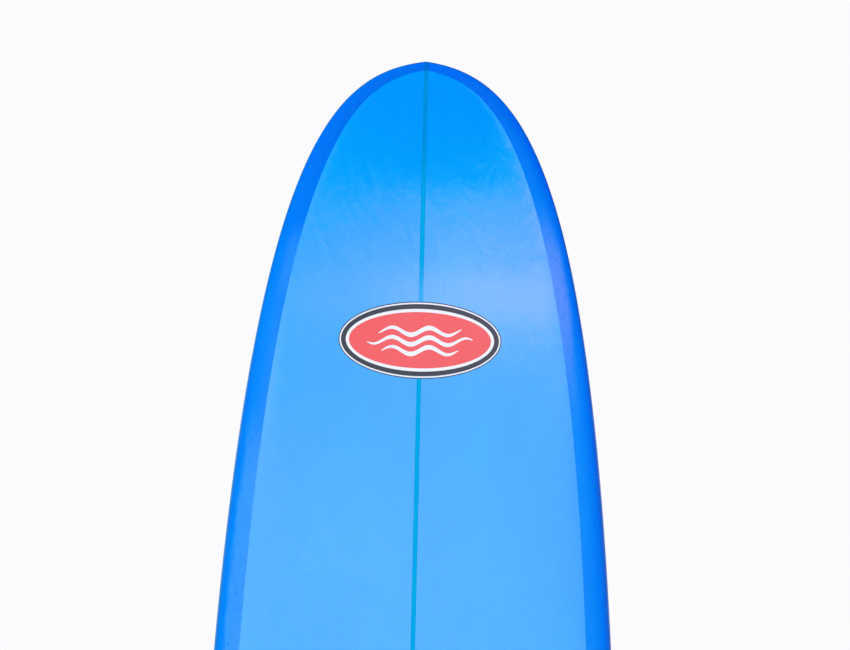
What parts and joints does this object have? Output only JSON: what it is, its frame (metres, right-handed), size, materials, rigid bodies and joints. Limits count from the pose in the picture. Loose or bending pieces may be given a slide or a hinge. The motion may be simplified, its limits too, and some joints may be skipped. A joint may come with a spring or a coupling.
{
  "type": "longboard surfboard",
  "caption": "Blue tinted longboard surfboard with a foam and glass hull, wooden stringer, adjustable centre fin, side fins and a leash plug.",
  "frame": {"origin": "centre of the flat end of the tail block, on which the upright board stands", "axes": "+Z from the tail to the nose, -Y out of the deck, +Y out of the bottom (the fins point to +Y), +X to the right of someone looking at the deck"},
  "size_m": [0.584, 0.302, 2.769],
  "materials": {
    "deck_glass": "light blue tinted polyester glass, sanded and polished",
    "bottom_glass": "mid blue tinted polyester glass, sanded and polished",
    "foam": "white polyurethane foam",
    "stringer_wood": "basswood seen through blue tint",
    "badge_print": "printed rice paper under the glass",
    "fitting_plastic": "moulded black",
    "fin_glass": "black moulded fibreglass, satin",
    "fitting_steel": "stainless steel"
  },
  "bodies": {
    "board": {"foam_core_left": "foam", "foam_core_right": "foam", "stringer": "stringer_wood", "deck_laminate": "deck_glass", "bottom_laminate": "bottom_glass", "deck_badge": "badge_print", "leash_plug_cup": "fitting_plastic", "leash_plug_bar": "fitting_steel", "centre_fin_box": "fitting_plastic", "fin_plug_front_left": "fitting_plastic", "fin_plug_rear_left": "fitting_plastic", "fin_plug_front_right": "fitting_plastic", "fin_plug_rear_right": "fitting_plastic"},
    "centre_fin": {"centre_fin": "fin_glass", "centre_fin_pin": "fitting_steel"},
    "fin_screw": {"fin_screw": "fitting_steel"},
    "fin_plate": {"fin_plate": "fitting_steel"},
    "side_fin_left": {"side_fin_left": "fin_glass"},
    "side_fin_right": {"side_fin_right": "fin_glass"},
    "grub_screw_front_left": {"grub_screw_front_left": "fitting_steel"},
    "grub_screw_rear_left": {"grub_screw_rear_left": "fitting_steel"},
    "grub_screw_front_right": {"grub_screw_front_right": "fitting_steel"},
    "grub_screw_rear_right": {"grub_screw_rear_right": "fitting_steel"}
  },
  "joints": [
    {"name": "centre_fin_slide", "type": "slide", "parent": "board", "child": "centre_fin", "axis": [0, 0.0899, 0.9959], "range_m": [-0.038, 0.034]},
    {"name": "fin_screw_turn", "type": "hinge", "parent": "centre_fin", "child": "fin_screw", "pos_m": [0, 0.04451, 0.36573], "axis": [0, 0.9959, -0.0899], "range_deg": [0, 540]},
    {"name": "fin_plate_travel", "type": "slide", "parent": "centre_fin", "child": "fin_plate", "axis": [0, -0.9959, 0.0899], "range_m": [0, 0.0012]},
    {"name": "side_fin_left_out", "type": "slide", "parent": "board", "child": "side_fin_left", "axis": [-0.0225, 0.9963, -0.0824], "range_m": [0, 0.016]},
    {"name": "side_fin_right_out", "type": "slide", "parent": "board", "child": "side_fin_right", "axis": [0.0225, 0.9963, -0.0824], "range_m": [0, 0.016]},
    {"name": "grub_front_left_turn", "type": "hinge", "parent": "board", "child": "grub_screw_front_left", "pos_m": [-0.12839, 0.04652, 0.39949], "axis": [0.3205, 0.9427, -0.0929], "range_deg": [0, 720]},
    {"name": "grub_rear_left_turn", "type": "hinge", "parent": "board", "child": "grub_screw_rear_left", "pos_m": [-0.13083, 0.04185, 0.34374], "axis": [0.3205, 0.9427, -0.0929], "range_deg": [0, 720]},
    {"name": "grub_front_right_turn", "type": "hinge", "parent": "board", "child": "grub_screw_front_right", "pos_m": [0.12839, 0.04652, 0.39949], "axis": [-0.3205, 0.9427, -0.0929], "range_deg": [0, 720]},
    {"name": "grub_rear_right_turn", "type": "hinge", "parent": "board", "child": "grub_screw_rear_right", "pos_m": [0.13083, 0.04185, 0.34374], "axis": [-0.3205, 0.9427, -0.0929], "range_deg": [0, 720]}
  ],
  "couplings": [
    {"joint": "fin_plate_travel", "follows": "fin_screw_turn", "m_per_rad": 0.00012633}
  ]
}
